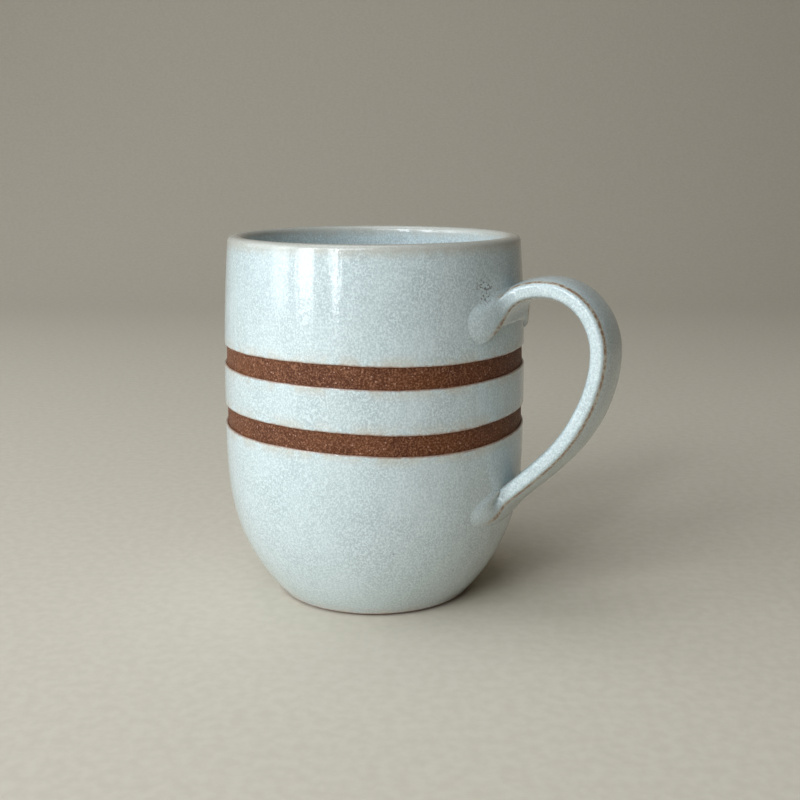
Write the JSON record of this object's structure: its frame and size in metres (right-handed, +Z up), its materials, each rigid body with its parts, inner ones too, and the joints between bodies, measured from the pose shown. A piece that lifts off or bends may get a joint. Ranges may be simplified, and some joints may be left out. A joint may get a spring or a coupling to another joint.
{
  "type": "ceramic mug",
  "caption": "Rounded stoneware mug with a pulled strap handle, pale glaze in bands and bare clay stripes.",
  "frame": {"origin": "centre of the flat unglazed foot, on the axis the mug was turned on", "axes": "+Z up along the turning axis, +X from the axis towards the handle, +Y across the handle"},
  "size_m": [0.1104, 0.0836, 0.1],
  "materials": {
    "bare_clay": "unglazed iron-bearing stoneware, matt and slightly gritty",
    "pale_glaze": "glossy pale blue-grey glaze with fine crystalline mottling",
    "handle_glaze": "glossy pale glaze, broken to brown where it thins on edges"
  },
  "bodies": {
    "root": {"mug_body": "bare_clay", "handle": "bare_clay", "upper_handle_joint": "handle_glaze", "lower_handle_joint": "handle_glaze", "liner_glaze": "pale_glaze", "upper_glaze_band": "pale_glaze", "middle_glaze_band": "pale_glaze", "lower_glaze_band": "pale_glaze", "handle_glaze": "handle_glaze"}
  },
  "joints": []
}
